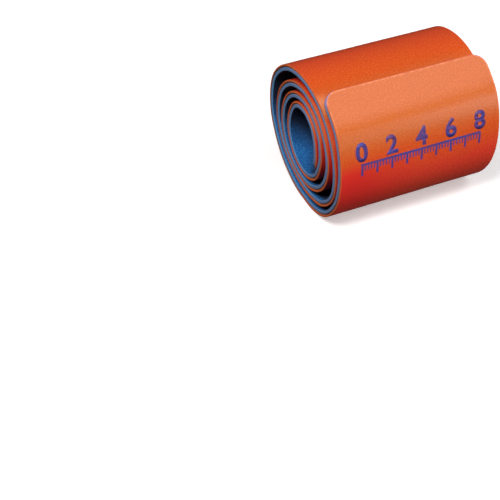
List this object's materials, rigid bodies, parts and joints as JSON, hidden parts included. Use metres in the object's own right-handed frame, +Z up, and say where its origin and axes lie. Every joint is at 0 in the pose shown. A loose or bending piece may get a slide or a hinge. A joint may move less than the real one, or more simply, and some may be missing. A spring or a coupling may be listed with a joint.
{
  "type": "rolled aluminium foam splint",
  "caption": "Mouldable first-aid splint: a soft aluminium strip between orange and blue foam sheets, with rounded ends, wound into a loose carrying roll that lies on its side.",
  "frame": {"origin": "centre of the bounding box's underside, on the surface that the roll lies on", "axes": "X along the roll's axis, +Z up, -Y towards the side where the free tab ends"},
  "size_m": [0.108, 0.0998, 0.0931],
  "materials": {
    "orange_foam": "fine-grained closed-cell foam skin, orange",
    "soft_aluminium": "plain mill finish sheet, seen only at its cut edge",
    "blue_foam": "closed-cell foam, blue, with a mottled open surface and a paler cut edge"
  },
  "bodies": {
    "root": {"outer_foam": "orange_foam", "aluminium_core": "soft_aluminium", "inner_foam": "blue_foam"}
  },
  "joints": []
}
